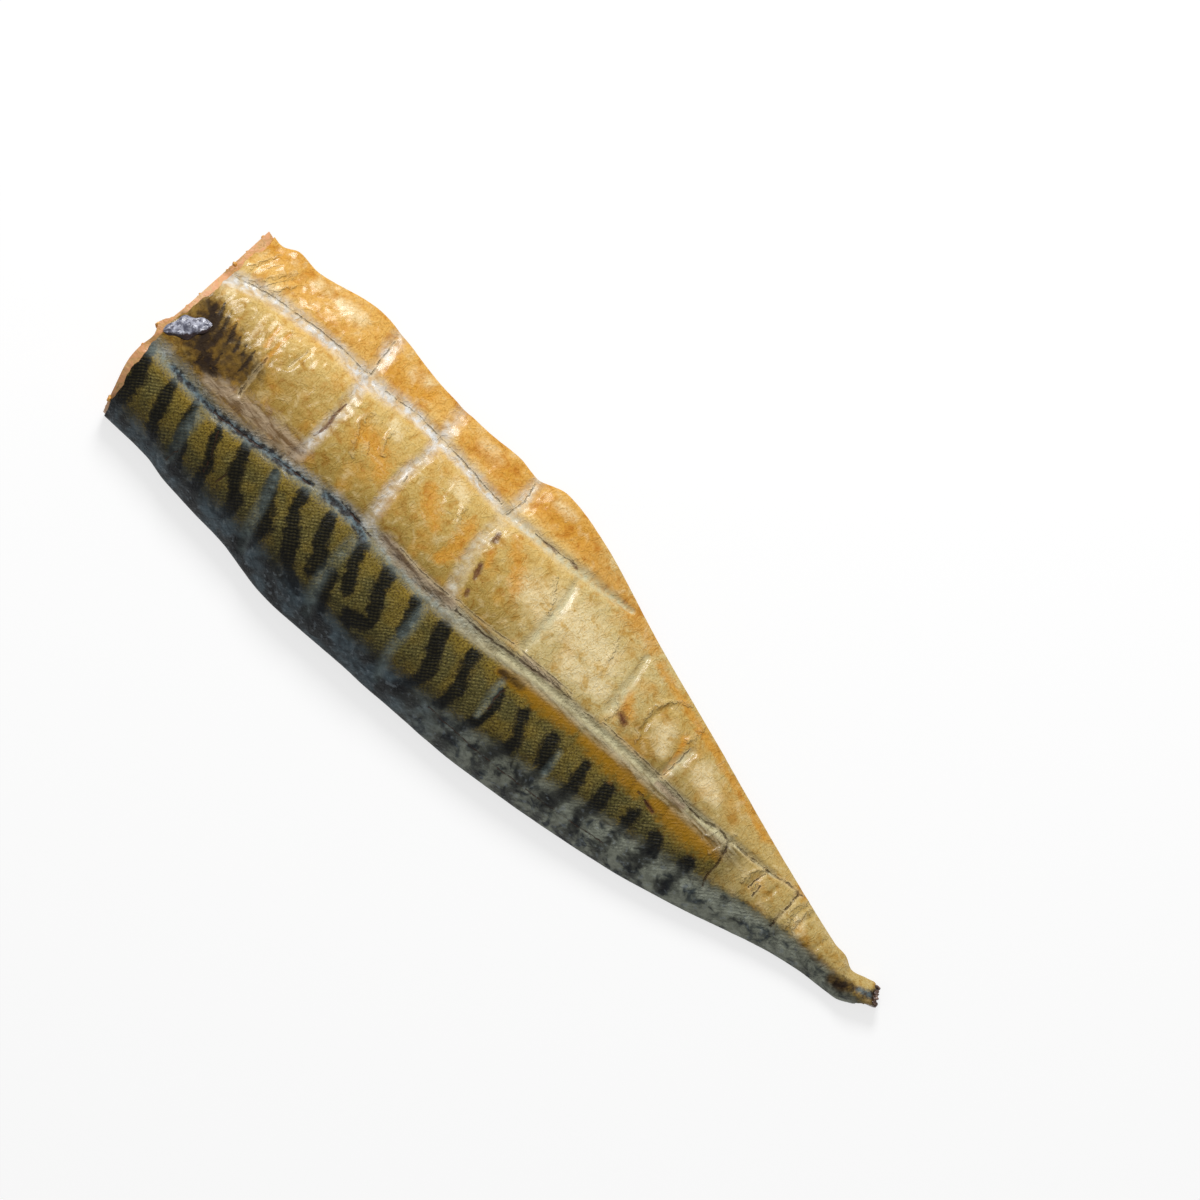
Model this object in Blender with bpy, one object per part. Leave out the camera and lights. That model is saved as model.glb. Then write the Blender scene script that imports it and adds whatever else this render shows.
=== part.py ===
"""Smoked mackerel fillet, one side of the fish, lying skin side up.

Metres, +Z up. The origin is on the surface that the fillet lies on, at the middle of its outline.
+X runs from the head cut to the tail stub, +Y from the back of the fish to its belly.
"""

import math

import bmesh
import bpy

# Driving dimensions
CREST_HEIGHT = 0.0180  # thickest part of the back
UNDERCUT = 0.0022  # how far the flesh side tucks in under the outline
UNDERCUT_WIDTH = 0.0200  # where the fillet is narrower than this, the undercut shrinks with it
RIM_LIFT = 0.0009  # how far the thin belly flap curls off the surface
RIM_WAVE = 0.0095  # length along the fish over which the curl turns through one radian

# Outline, walked from head to tail: (x, y) along the back and along the belly
BACK_EDGE = [
    (-0.1145, -0.0322),
    (-0.0995, -0.0319),
    (-0.0920, -0.0329),
    (-0.0725, -0.0332),
    (-0.0560, -0.0350),
    (-0.0300, -0.0334),
    (0.0000, -0.0310),
    (0.0250, -0.0271),
    (0.0500, -0.0216),
    (0.0700, -0.0156),
    (0.0880, -0.0090),
    (0.1000, -0.0058),
    (0.1090, -0.0044),
    (0.1120, -0.0038),
    (0.1152, -0.0020),
    (0.1180, -0.0003),
    (0.1200, 0.0012),
]
BELLY_EDGE = [
    (-0.1180, 0.0282),
    (-0.1130, 0.0275),
    (-0.1090, 0.0295),
    (-0.1020, 0.0294),
    (-0.0850, 0.0336),
    (-0.0620, 0.0316),
    (-0.0460, 0.0318),
    (-0.0360, 0.0329),
    (-0.0290, 0.0325),
    (-0.0210, 0.0350),
    (-0.0050, 0.0328),
    (0.0200, 0.0256),
    (0.0500, 0.0180),
    (0.0750, 0.0115),
    (0.1020, 0.0053),
    (0.1060, 0.0051),
    (0.1095, 0.0037),
    (0.1135, 0.0050),
    (0.1166, 0.0057),
    (0.1184, 0.0036),
    (0.1200, 0.0019),
]
# The two ends: (share of the width from back to belly, x)
HEAD_CUT = [
    (0.00, -0.1145),
    (0.10, -0.1164),
    (0.22, -0.1187),
    (0.30, -0.1191),
    (0.37, -0.1187),
    (0.43, -0.1200),
    (0.48, -0.1186),
    (0.75, -0.1180),
    (1.00, -0.1178),
]
TAIL_TEAR = [(0.00, 0.1160), (0.35, 0.1200), (0.60, 0.1186), (0.85, 0.1178), (1.00, 0.1168)]

# Height of the thickest line along the fish, as a share of CREST_HEIGHT: (x, share)
CREST = [
    (-0.1200, 0.86),
    (-0.0950, 0.96),
    (-0.0600, 1.00),
    (-0.0200, 0.93),
    (0.0200, 0.76),
    (0.0500, 0.58),
    (0.0800, 0.42),
    (0.1020, 0.32),
    (0.1090, 0.28),
    (0.1150, 0.31),
    (0.1200, 0.24),
]
# Height across the fish, as a share of the thickest line: (share of the width from back to belly, share)
BODY_SECTION = [
    (0.00, 0.26),
    (0.04, 0.49),
    (0.10, 0.72),
    (0.20, 0.93),
    (0.34, 1.00),
    (0.50, 0.93),
    (0.68, 0.72),
    (0.85, 0.42),
    (0.95, 0.24),
    (1.00, 0.14),
]
TAIL_SECTION = [
    (0.00, 0.36),
    (0.05, 0.54),
    (0.14, 0.76),
    (0.30, 0.95),
    (0.45, 1.00),
    (0.62, 0.95),
    (0.82, 0.70),
    (0.94, 0.46),
    (1.00, 0.32),
]
TAIL_STARTS_X, TAIL_FULL_X = 0.0200, 0.0950

# Furrows that the wire rack of the smoker pressed into the skin: routes of the two long wires
BELLY_WIRE = [
    (-0.1180, 0.0130),
    (-0.1000, 0.0178),
    (-0.0800, 0.0200),
    (-0.0550, 0.0222),
    (-0.0300, 0.0214),
    (-0.0100, 0.0232),
    (0.0150, 0.0262),
]
BACK_WIRE = [
    (-0.1180, -0.0118),
    (-0.0900, -0.0108),
    (-0.0620, -0.0066),
    (-0.0300, -0.0058),
    (0.0000, -0.0028),
    (0.0400, 0.0016),
    (0.0700, 0.0048),
    (0.0900, 0.0080),
]
BELLY_WIRE_FADES = (-0.0100, 0.0150)  # x where the furrow starts to fade, and where it is gone
BACK_WIRE_FADES = (0.0750, 0.0950)
CROSS_WIRE_X = -0.0750
CROSS_WIRE_PITCH = 0.0245
CROSS_WIRES = 6
WIRE_HALF_WIDTH = 0.0021
LONG_FURROW = 0.0013
CROSS_FURROW = 0.0007

# Mesh density
STATIONS = 86
ACROSS = 20
EDGE_CROWDING = 0.72  # how strongly the lines across the fish crowd towards its edges
MERGE_DISTANCE = 1e-6

SKIN_COLOUR = (0.42, 0.29, 0.07, 1.0)


def through(points, at):
    """Height at `at` of the smooth curve through points, held level past its ends."""
    if at <= points[0][0]:
        return points[0][1]
    if at >= points[-1][0]:
        return points[-1][1]
    i = next(k for k in range(len(points) - 1) if at <= points[k + 1][0])

    def slope(k):
        before, after = max(k - 1, 0), min(k + 1, len(points) - 1)
        return (points[after][1] - points[before][1]) / (points[after][0] - points[before][0])

    (x0, y0), (x1, y1) = points[i], points[i + 1]
    span = x1 - x0
    t = (at - x0) / span
    m0, m1 = slope(i) * span, slope(i + 1) * span
    return (
        (2 * t**3 - 3 * t**2 + 1) * y0
        + (t**3 - 2 * t**2 + t) * m0
        + (3 * t**2 - 2 * t**3) * y1
        + (t**3 - t**2) * m1
    )


def eased(low, high, at):
    """0 below low, 1 above high, smooth between."""
    t = min(1.0, max(0.0, (at - low) / (high - low)))
    return t * t * (3 - 2 * t)


def outline_point(along, across):
    """(x, y) on the surface, for shares of the length and of the width."""
    x = through(HEAD_CUT, across) + along * (through(TAIL_TEAR, across) - through(HEAD_CUT, across))
    back, belly = through(BACK_EDGE, x), through(BELLY_EDGE, x)
    return x, back + across * (belly - back)


def furrow(distance, depth):
    """Depth of a wire's soft-sided furrow at a distance from its middle line."""
    return depth * math.exp(-((distance / WIRE_HALF_WIDTH) ** 2))


def pressed_in(x, y):
    """How far the rack has pressed the skin in at a point."""
    depth = furrow(y - through(BACK_WIRE, x), LONG_FURROW * (1 - eased(*BACK_WIRE_FADES, x)))
    depth = max(depth, furrow(y - through(BELLY_WIRE, x), LONG_FURROW * (1 - eased(*BELLY_WIRE_FADES, x))))
    for k in range(CROSS_WIRES):
        wire_x = CROSS_WIRE_X + k * CROSS_WIRE_PITCH
        depth = max(depth, furrow(x - wire_x, CROSS_FURROW))
    return depth


def skin_height(x, y, across):
    """Height of the skin above the surface."""
    tail = eased(TAIL_STARTS_X, TAIL_FULL_X, x)
    section = (1 - tail) * through(BODY_SECTION, across) + tail * through(TAIL_SECTION, across)
    height = CREST_HEIGHT * through(CREST, x) * section
    free_of_edge = eased(0.0, 0.12, across) * (1 - eased(0.90, 1.0, across))
    return height - free_of_edge * pressed_in(x, y)


def flesh_height(x, across):
    """Height of the flesh side: flat on the surface, with the belly flap curling up in slow waves."""
    flap = eased(0.84, 1.0, across) * (1 - eased(0.02, 0.06, x))
    return RIM_LIFT * flap * (0.5 + 0.5 * math.sin(x / RIM_WAVE))


def across_at(j):
    """Share of the width at line j, with the lines closer together near both edges."""
    even = j / ACROSS
    crowded = 0.5 - 0.5 * math.cos(math.pi * even)
    return (1 - EDGE_CROWDING) * even + EDGE_CROWDING * crowded


def ring(along, shut):
    """One closed section of the fillet, walked under the flesh, up the belly edge and back over the skin.

    A shut ring has its skin and its flesh folded together at mid height, which closes the end of the body.
    """
    flesh, skin = [], []
    for j in range(ACROSS + 1):
        across = across_at(j)
        x, y = outline_point(along, across)
        top, bottom = skin_height(x, y, across), flesh_height(x, across)
        inwards = UNDERCUT * ((1 - eased(0.0, 0.10, across)) - eased(0.90, 1.0, across))
        narrow = min(1.0, (through(BELLY_EDGE, x) - through(BACK_EDGE, x)) / UNDERCUT_WIDTH)
        if shut:
            top = bottom = (top + bottom) / 2
            inwards = 0.0
        skin.append((x, y, top))
        flesh.append((x, y + inwards * narrow, bottom))
    belly_side = tuple((a + b) / 2 for a, b in zip(flesh[-1], skin[-1]))
    back_side = tuple((a + b) / 2 for a, b in zip(flesh[0], skin[0]))
    if not shut:
        belly_side = (skin[-1][0], skin[-1][1], belly_side[2])
        back_side = (skin[0][0], skin[0][1], back_side[2])
    return [*flesh, belly_side, *reversed(skin), back_side]


def build_fillet(collection):
    """The whole fillet as one closed body: a flat grid rolled into a tube and shut at both ends."""
    around = 2 * (ACROSS + 1) + 2
    mesh = bpy.data.meshes.new("fillet")
    body = bmesh.new()
    bmesh.ops.create_grid(body, x_segments=STATIONS + 2, y_segments=around, size=1.0)
    sections = [ring(0.0, shut=True)]
    sections += [ring(k / STATIONS, shut=False) for k in range(STATIONS + 1)]
    sections.append(ring(1.0, shut=True))
    for vertex in body.verts:
        station = round((vertex.co.x + 1) / 2 * (STATIONS + 2))
        turn = round((vertex.co.y + 1) / 2 * around) % around
        vertex.co = sections[station][turn]
    bmesh.ops.remove_doubles(body, verts=body.verts, dist=MERGE_DISTANCE)
    bmesh.ops.recalc_face_normals(body, faces=body.faces)
    body.to_mesh(mesh)
    body.free()
    mesh.shade_smooth()
    mesh.set_sharp_from_angle(angle=math.radians(50))
    fillet = bpy.data.objects.new("fillet", mesh)
    collection.objects.link(fillet)
    return fillet


def skin_material():
    """Golden brown smoked skin with an oily shine."""
    material = bpy.data.materials.new("smoked_skin")
    material.use_nodes = True
    shader = material.node_tree.nodes["Principled BSDF"]
    shader.inputs["Base Color"].default_value = SKIN_COLOUR
    shader.inputs["Roughness"].default_value = 0.4
    shader.inputs["Metallic"].default_value = 0.0
    return material


def main():
    for leftover in list(bpy.data.objects):
        bpy.data.objects.remove(leftover)
    collection = bpy.data.collections.new("smoked_fish")
    bpy.context.scene.collection.children.link(collection)
    fillet = build_fillet(collection)
    fillet.data.materials.append(skin_material())


main()
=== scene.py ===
import math

import bmesh
import bpy
import numpy as np
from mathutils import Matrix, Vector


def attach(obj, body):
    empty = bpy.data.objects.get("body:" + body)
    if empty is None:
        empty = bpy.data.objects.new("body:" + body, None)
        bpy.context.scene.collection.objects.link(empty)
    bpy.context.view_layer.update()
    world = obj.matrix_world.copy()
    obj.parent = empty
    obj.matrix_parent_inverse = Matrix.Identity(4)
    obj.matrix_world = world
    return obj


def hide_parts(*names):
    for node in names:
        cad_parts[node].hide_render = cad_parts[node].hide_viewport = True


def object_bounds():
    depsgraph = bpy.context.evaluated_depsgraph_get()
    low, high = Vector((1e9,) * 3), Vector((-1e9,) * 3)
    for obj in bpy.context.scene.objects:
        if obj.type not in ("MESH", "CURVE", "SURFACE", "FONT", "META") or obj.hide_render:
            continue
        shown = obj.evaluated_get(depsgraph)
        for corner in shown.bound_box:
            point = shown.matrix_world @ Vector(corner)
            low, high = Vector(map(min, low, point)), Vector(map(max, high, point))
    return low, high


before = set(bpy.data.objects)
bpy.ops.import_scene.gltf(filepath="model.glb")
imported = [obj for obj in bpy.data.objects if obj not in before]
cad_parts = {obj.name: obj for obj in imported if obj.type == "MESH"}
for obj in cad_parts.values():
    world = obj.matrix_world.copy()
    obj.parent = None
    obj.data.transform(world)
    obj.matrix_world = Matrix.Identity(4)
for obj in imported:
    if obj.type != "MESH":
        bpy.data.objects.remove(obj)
cad_low, cad_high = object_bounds()

# ---------------------------------------------------------------------------------------------
# Camera: straight above the table, a little to the belly side of the fillet, with the head cut
# at the top left and the tail stub at the bottom right.
# ---------------------------------------------------------------------------------------------
MM = 0.001
VIEW_WIDTH = 290.6 * MM
VIEW_OFF_MIDDLE = (2.4 * MM, 22.7 * MM)
VIEW_TURN = math.radians(45.71)
CAMERA_HEIGHT = 2400 * MM
SENSOR = 36.0

middle = (cad_low + cad_high) / 2
camera_data = bpy.data.cameras.new("camera")
camera_data.sensor_width = SENSOR
camera_data.lens = SENSOR * (CAMERA_HEIGHT - middle.z) / VIEW_WIDTH
camera = bpy.data.objects.new("camera", camera_data)
camera.location = (middle.x + VIEW_OFF_MIDDLE[0], middle.y + VIEW_OFF_MIDDLE[1], CAMERA_HEIGHT)
camera.rotation_euler = (0, 0, VIEW_TURN)
bpy.context.scene.collection.objects.link(camera)
bpy.context.scene.camera = camera
bpy.context.scene.view_settings.view_transform = "Standard"


# ---------------------------------------------------------------------------------------------
# Flesh: one side of the fish, cut off behind the head and boned. The cured flesh has settled flat
# where it lies, and splits along its flakes under the knife.
# ---------------------------------------------------------------------------------------------
# Outline, walked from head to tail in millimetres: (x, y) along the back and along the belly
BACK_EDGE = [
    (-114.5, -32.2), (-99.5, -31.9), (-92.0, -32.9), (-72.5, -33.2), (-56.0, -35.0),
    (-30.0, -33.4), (0.0, -31.0), (25.0, -27.1), (50.0, -21.6), (70.0, -15.6),
    (88.0, -9.0), (100.0, -5.8), (109.0, -4.4), (112.0, -3.8), (115.2, -2.0),
    (118.0, -0.3), (120.0, 1.2),
]
BELLY_EDGE = [
    (-118.0, 28.2), (-113.0, 27.5), (-109.0, 29.5), (-102.0, 29.4), (-85.0, 33.6),
    (-62.0, 31.6), (-46.0, 31.8), (-36.0, 32.9), (-29.0, 32.5), (-21.0, 35.0),
    (-5.0, 32.8), (20.0, 25.6), (50.0, 18.0), (75.0, 11.5), (102.0, 5.3),
    (106.0, 5.1), (109.5, 3.7), (113.5, 5.0), (116.6, 5.7), (118.4, 3.6), (120.0, 1.9),
]
# The two ends of the flesh: (share of the width from back to belly, x)
HEAD_CUT = [
    (0.00, -114.5), (0.10, -116.4), (0.22, -118.7), (0.30, -119.1), (0.37, -118.7),
    (0.43, -120.0), (0.48, -118.6), (0.75, -118.0), (1.00, -117.8),
]
TAIL_TEAR = [(0.00, 116.0), (0.35, 120.0), (0.60, 118.6), (0.85, 117.8), (1.00, 116.8)]
# Height of the thickest line along the fish, and height across it, as shares
CREST = [
    (-120.0, 0.86), (-95.0, 0.96), (-60.0, 1.00), (-20.0, 0.93), (20.0, 0.76), (50.0, 0.58),
    (80.0, 0.42), (102.0, 0.32), (109.0, 0.28), (115.0, 0.31), (120.0, 0.24),
]
BODY_SECTION = [
    (0.00, 0.26), (0.04, 0.49), (0.10, 0.72), (0.20, 0.93), (0.34, 1.00), (0.50, 0.93),
    (0.68, 0.72), (0.85, 0.42), (0.95, 0.24), (1.00, 0.14),
]
TAIL_SECTION = [
    (0.00, 0.36), (0.05, 0.54), (0.14, 0.76), (0.30, 0.95), (0.45, 1.00), (0.62, 0.95),
    (0.82, 0.70), (0.94, 0.46), (1.00, 0.32),
]
TAIL_STARTS_X, TAIL_FULL_X = 20.0, 95.0
UNDERCUT = 2.2
UNDERCUT_WIDTH = 20.0
RIM_LIFT = 0.9
RIM_WAVE = 9.5
SKIN_THICKNESS = 0.45
THINNEST = 0.4
# The flesh lies lower than the skin where it is covered, and marks press it only where it is thick
FLESH_LOWERED = 0.9
YIELDS_FROM, YIELDS_FULLY = 1.5, 4.0
FLESH_STATIONS = 440
FLESH_ACROSS = 92
END_STEPS = 7
crest_height = cad_high.z / MM


def through(points, at):
    """Values at `at` of the smooth curve through points, held level past its ends."""
    xs, ys = np.array(points).T
    at = np.clip(at, xs[0], xs[-1])
    slopes = np.gradient(ys)
    slopes[1:-1] = (ys[2:] - ys[:-2]) / (xs[2:] - xs[:-2])
    slopes[0] = (ys[1] - ys[0]) / (xs[1] - xs[0])
    slopes[-1] = (ys[-1] - ys[-2]) / (xs[-1] - xs[-2])
    i = np.clip(np.searchsorted(xs, at, side="right") - 1, 0, len(xs) - 2)
    span = xs[i + 1] - xs[i]
    t = (at - xs[i]) / span
    return (
        (2 * t**3 - 3 * t**2 + 1) * ys[i]
        + (t**3 - 2 * t**2 + t) * span * slopes[i]
        + (3 * t**2 - 2 * t**3) * ys[i + 1]
        + (t**3 - t**2) * span * slopes[i + 1]
    )


def eased(low, high, at):
    """0 below low, 1 above high, smooth between."""
    t = np.clip((at - low) / (high - low), 0, 1)
    return t * t * (3 - 2 * t)


def section_point(x, turn, inset):
    """(y, z) of the fillet's outer form at x, pulled in by inset.

    turn runs from -1 under the back edge, over the back at 0 and the belly edge at 1, to 2 under it.
    """
    across = np.clip(turn, 0, 1)
    back = through(BACK_EDGE, x) + inset
    belly = through(BELLY_EDGE, x) - inset
    tuck = UNDERCUT * np.minimum(1, (belly - back) / UNDERCUT_WIDTH)
    under_back = np.clip(-turn, 0, 1) * math.pi / 2
    under_belly = np.clip(turn - 1, 0, 1) * math.pi / 2
    y = back + across * (belly - back) + tuck * (np.cos(under_belly) - np.cos(under_back))
    tail = eased(TAIL_STARTS_X, TAIL_FULL_X, x)
    share = (1 - tail) * through(BODY_SECTION, across) + tail * through(TAIL_SECTION, across)
    top = crest_height * through(CREST, x) * share - inset
    bottom = flesh_bottom(x, across)
    top = np.maximum(top, bottom + THINNEST)
    return y, bottom + (top - bottom) * (1 - np.sin(under_back + under_belly))


def flesh_bottom(x, across):
    """Height of the flesh side: flat where it lies, with the belly flap curling up in slow waves."""
    flap = eased(0.84, 1.0, across) * (1 - eased(20, 60, x))
    return RIM_LIFT * flap * (0.5 + 0.5 * np.sin(x / RIM_WAVE))


def loft(name, rings, end_faces=()):
    """A closed mesh from closed rings of points in millimetres, all with one number of points."""
    index = np.arange(rings.shape[0] * rings.shape[1]).reshape(rings.shape[:2])
    turned = np.roll(index, -1, 1)
    side = np.stack([index[:-1], index[1:], turned[1:], turned[:-1]], -1).reshape(-1, 4)
    mesh = bpy.data.meshes.new(name)
    mesh.from_pydata((rings.reshape(-1, 3) * MM).tolist(), [], side.tolist() + list(end_faces))
    mesh.shade_smooth()
    piece = bpy.data.objects.new(name, mesh)
    bpy.context.scene.collection.objects.link(piece)
    return piece


def keep_on_points(piece, name, values):
    """Keeps one number, or one vector, for each point of a piece, for its shape trees and its material."""
    kind, key = ("FLOAT", "value") if values.ndim == 1 else ("FLOAT_VECTOR", "vector")
    attribute = piece.data.attributes.new(name, kind, "POINT")
    attribute.data.foreach_set(key, values.astype(np.float32).ravel())


along = np.linspace(0, 1, FLESH_STATIONS + 1)[:, None]
even = np.linspace(0, 1, FLESH_ACROSS + 1)[None, :]
turns = np.interp(even, (0, 0.08, 0.94, 1), (-1, 0, 1, 2))
over = np.clip(turns, 0, 1)
over_x = through(HEAD_CUT, over) + along * (through(TAIL_TEAR, over) - through(HEAD_CUT, over))
over_y, over_z = section_point(over_x, turns, SKIN_THICKNESS)
covered = eased(-113, -108, over_x) * (1 - eased(108, 113, over_x))
covered = covered * eased(0, 0.06, over) * (1 - eased(0.93, 1, over))
covered = covered * eased(YIELDS_FROM, YIELDS_FULLY, over_z)
over_z = over_z - FLESH_LOWERED * covered
top = np.stack([over_x, over_y, over_z], -1)
low_x = through(HEAD_CUT, even) + along * (through(TAIL_TEAR, even) - through(HEAD_CUT, even))
low_y = over_y[:, :1] + even * (over_y[:, -1:] - over_y[:, :1])
low_z = flesh_bottom(low_x, np.broadcast_to(even, low_x.shape))
low = np.stack([low_x, low_y, low_z], -1)
low[:, [0, -1]] = top[:, [0, -1]]


def fold(station, share):
    """A station's ring with its skin side and its flesh side drawn together by share."""
    seam = (top[station] + low[station]) / 2
    upper = top[station] + share * (seam - top[station])
    under = low[station] + share * (seam - low[station])
    return np.concatenate([upper, under[-2:0:-1]])


steps = np.linspace(0, 1, END_STEPS + 1)
rings = [fold(0, share) for share in steps[:0:-1]]
rings += [fold(station, 0) for station in range(FLESH_STATIONS + 1)]
rings += [fold(-1, share) for share in steps[1:]]
rings = np.array(rings)
flesh = loft("flesh", rings)
underneath = np.zeros(rings.shape[:2])
underneath[:, FLESH_ACROSS + 1:] = 1
yields = (1 - underneath) * eased(YIELDS_FROM, YIELDS_FULLY, rings[:, :, 2])


class Wire:
    """A socket of a node tree. Sums on it add Math nodes, and node() adds a node of any other kind."""

    def __init__(self, tree, socket=None):
        self.tree = tree
        self.socket = socket

    def node(self, kind, settings=None, inputs=None, output=0):
        """Adds a node: first its settings, then the values or links of its sockets. Returns an output."""
        new = self.tree.nodes.new(kind)
        for name, value in (settings or {}).items():
            if name == "stops":
                while len(new.color_ramp.elements) < len(value):
                    new.color_ramp.elements.new(0.5)
                for element, (position, colour) in zip(new.color_ramp.elements, value):
                    element.position = position
                    element.color = colour
            else:
                setattr(new, name, value)
        for name, value in (inputs or {}).items():
            if isinstance(value, Wire):
                self.tree.links.new(value.socket, new.inputs[name])
            else:
                new.inputs[name].default_value = value
        return Wire(self.tree, new.outputs[output] if new.outputs else None)

    def maths(self, operation, *values):
        return self.node("ShaderNodeMath", {"operation": operation}, dict(enumerate(values)))

    def __add__(self, other):
        return self.maths("ADD", self, other)

    def __sub__(self, other):
        return self.maths("SUBTRACT", self, other)

    def __rsub__(self, other):
        return self.maths("SUBTRACT", other, self)

    def __mul__(self, other):
        return self.maths("MULTIPLY", self, other)

    def __truediv__(self, other):
        return self.maths("DIVIDE", self, other)

    def __rtruediv__(self, other):
        return self.maths("DIVIDE", other, self)

    def __pow__(self, other):
        return self.maths("POWER", self, other)

    __radd__ = __add__
    __rmul__ = __mul__

    def rise(self, low, high):
        """0 where the value is low, 1 where it is high, smooth between."""
        return self.node(
            "ShaderNodeMapRange", {"interpolation_type": "SMOOTHSTEP"}, {0: self, 1: low, 2: high}
        )

    def pick(self, colour_at_0, colour_at_1):
        """A colour between two, by this value."""
        inputs = {0: self, 6: colour_at_0, 7: colour_at_1}
        return self.node("ShaderNodeMix", {"data_type": "RGBA"}, inputs, 2)

    def painted_shade(self, colour, tint):
        """A colour darkened towards its product with a tint, by this value: painted shade."""
        inputs = {0: self, 6: colour, 7: tint}
        return self.node("ShaderNodeMix", {"data_type": "RGBA", "blend_type": "MULTIPLY"}, inputs, 2)

    def over(self, other):
        """The greater of two values."""
        return self.maths("MAXIMUM", self, other)

    def vector(self, operation, *values, output=0):
        return self.node("ShaderNodeVectorMath", {"operation": operation}, dict(enumerate(values)), output)

    def part(self, axis):
        return self.node("ShaderNodeSeparateXYZ", inputs={0: self}, output=axis)


def shape_tree(name, sizes):
    """A Geometry Nodes tree with named inputs: the wire that its nodes start from, and its inputs by name."""
    tree = bpy.data.node_groups.new(name, "GeometryNodeTree")
    tree.interface.new_socket("Geometry", in_out="OUTPUT", socket_type="NodeSocketGeometry")
    for size, kind in {"Geometry": "Geometry", **sizes, "Finish": "Material"}.items():
        tree.interface.new_socket(size, in_out="INPUT", socket_type="NodeSocket" + kind)
    inputs = tree.nodes.new("NodeGroupInput")
    return Wire(tree), {socket.name: Wire(tree, socket) for socket in inputs.outputs if socket.name}


def close_tree(geometry, finish):
    """Ends a shape tree: its instances are made real, and their material is set."""
    real = geometry.node("GeometryNodeRealizeInstances", inputs={0: geometry})
    done = real.node("GeometryNodeSetMaterial", inputs={0: real, "Material": finish})
    end = done.tree.nodes.new("NodeGroupOutput")
    done.tree.links.new(done.socket, end.inputs[0])
    return done.tree


def run_tree(piece, tree, **values):
    """Puts a shape tree on a piece and sets its inputs by name."""
    modifier = piece.modifiers.new(tree.name, "NODES")
    modifier.node_group = tree
    for item in tree.interface.items_tree:
        if item.in_out == "INPUT" and item.name in values:
            modifier[item.identifier] = values[item.name]


SHARP_EDGE = math.radians(60)


def made_plain(piece):
    """Turns what a piece's modifiers make into its own plain mesh."""
    evaluated = piece.evaluated_get(bpy.context.evaluated_depsgraph_get())
    mesh = bpy.data.meshes.new_from_object(evaluated)
    piece.modifiers.clear()
    piece.data = mesh
    mesh.name = piece.name
    mesh.shade_smooth()
    mesh.set_sharp_from_angle(angle=SHARP_EDGE)


def paint(red, green, blue):
    """A colour from its eight-bit display values."""
    shares = [value / 255 for value in (red, green, blue)]
    return (*(v / 12.92 if v <= 0.04045 else ((v + 0.055) / 1.055) ** 2.4 for v in shares), 1.0)


def new_finish(name):
    """An empty material, and the wire that its nodes start from."""
    material = bpy.data.materials.new(name)
    material.use_nodes = True
    material.node_tree.nodes.clear()
    return material, Wire(material.node_tree)


MARK_STEP = 0.5


def drawn_lines(name, routes):
    """Routes of (x, y, half width) in millimetres as a mesh of smooth lines on the table."""
    vertices, edges, widths = [], [], []
    for route in routes:
        points = np.array(route, float)
        lengths = np.concatenate([[0], np.cumsum(np.linalg.norm(np.diff(points[:, :2], axis=0), axis=1))])
        places = np.linspace(0, lengths[-1], max(2, int(lengths[-1] / MARK_STEP) + 1))
        columns = [through(np.stack([lengths, column], -1), places) for column in points.T]
        first = len(vertices)
        vertices += [(px * MM, py * MM, 0.0) for px, py in zip(columns[0], columns[1])]
        widths += [half * MM for half in columns[2]]
        edges += [(first + k, first + k + 1) for k in range(len(places) - 1)]
    mesh = bpy.data.meshes.new(name)
    mesh.from_pydata(vertices, edges, [])
    lines = bpy.data.objects.new(name, mesh)
    keep_on_points(lines, "half_width", np.array(widths))
    bpy.context.scene.collection.objects.link(lines)
    return lines


def same_width(half_width, *routes):
    """Routes of (x, y) given one half width."""
    return [[(px, py, half_width) for px, py in route] for route in routes]


# A tree that marks a surface along drawn lines. Each point learns where the nearest line is, in half
# widths, as (towards it in x, towards it in y, distance), and is pushed in there, or raised.
start, given = shape_tree("mark_along_lines", {"Lines": "Object", "Mark": "String", "Depth": "Float"})
place = start.node("GeometryNodeInputPosition")
on_table = start.vector("MULTIPLY", place, (1, 1, 0))
lines = start.node("GeometryNodeObjectInfo", inputs={"Object": given["Lines"]}, output="Geometry")
searched = {"Geometry": lines, "Sample Position": on_table}
nearest = start.node("GeometryNodeProximity", {"target_element": "EDGES"}, searched, "Position")
index = start.node("GeometryNodeSampleNearest", inputs=searched)
drawn_width = start.node("GeometryNodeInputNamedAttribute", {"data_type": "FLOAT"}, {"Name": "half_width"})
sampled = {"Geometry": lines, "Value": drawn_width, "Index": index}
half_width = start.node("GeometryNodeSampleIndex", {"data_type": "FLOAT"}, sampled)
towards = start.vector("SUBTRACT", nearest, on_table)
distance = start.vector("LENGTH", towards, output="Value") / half_width
mark = start.node(
    "ShaderNodeCombineXYZ",
    inputs={0: towards.part(0) / half_width, 1: towards.part(1) / half_width, 2: distance},
)
stored = start.node(
    "GeometryNodeStoreNamedAttribute",
    {"data_type": "FLOAT_VECTOR"},
    {"Geometry": given["Geometry"], "Name": given["Mark"], "Value": mark},
)
outwards = start.node("GeometryNodeInputNamedAttribute", {"data_type": "FLOAT_VECTOR"}, {"Name": "outwards"})
give = start.node("GeometryNodeInputNamedAttribute", {"data_type": "FLOAT"}, {"Name": "give"})
push = given["Depth"] * give * start.maths("EXPONENT", distance * distance * -1) * -1
offset = start.node("ShaderNodeVectorMath", {"operation": "SCALE"}, {0: outwards, "Scale": push})
moved = start.node("GeometryNodeSetPosition", inputs={"Geometry": stored, "Offset": offset})
mark_tree = close_tree(moved, given["Finish"])

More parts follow.
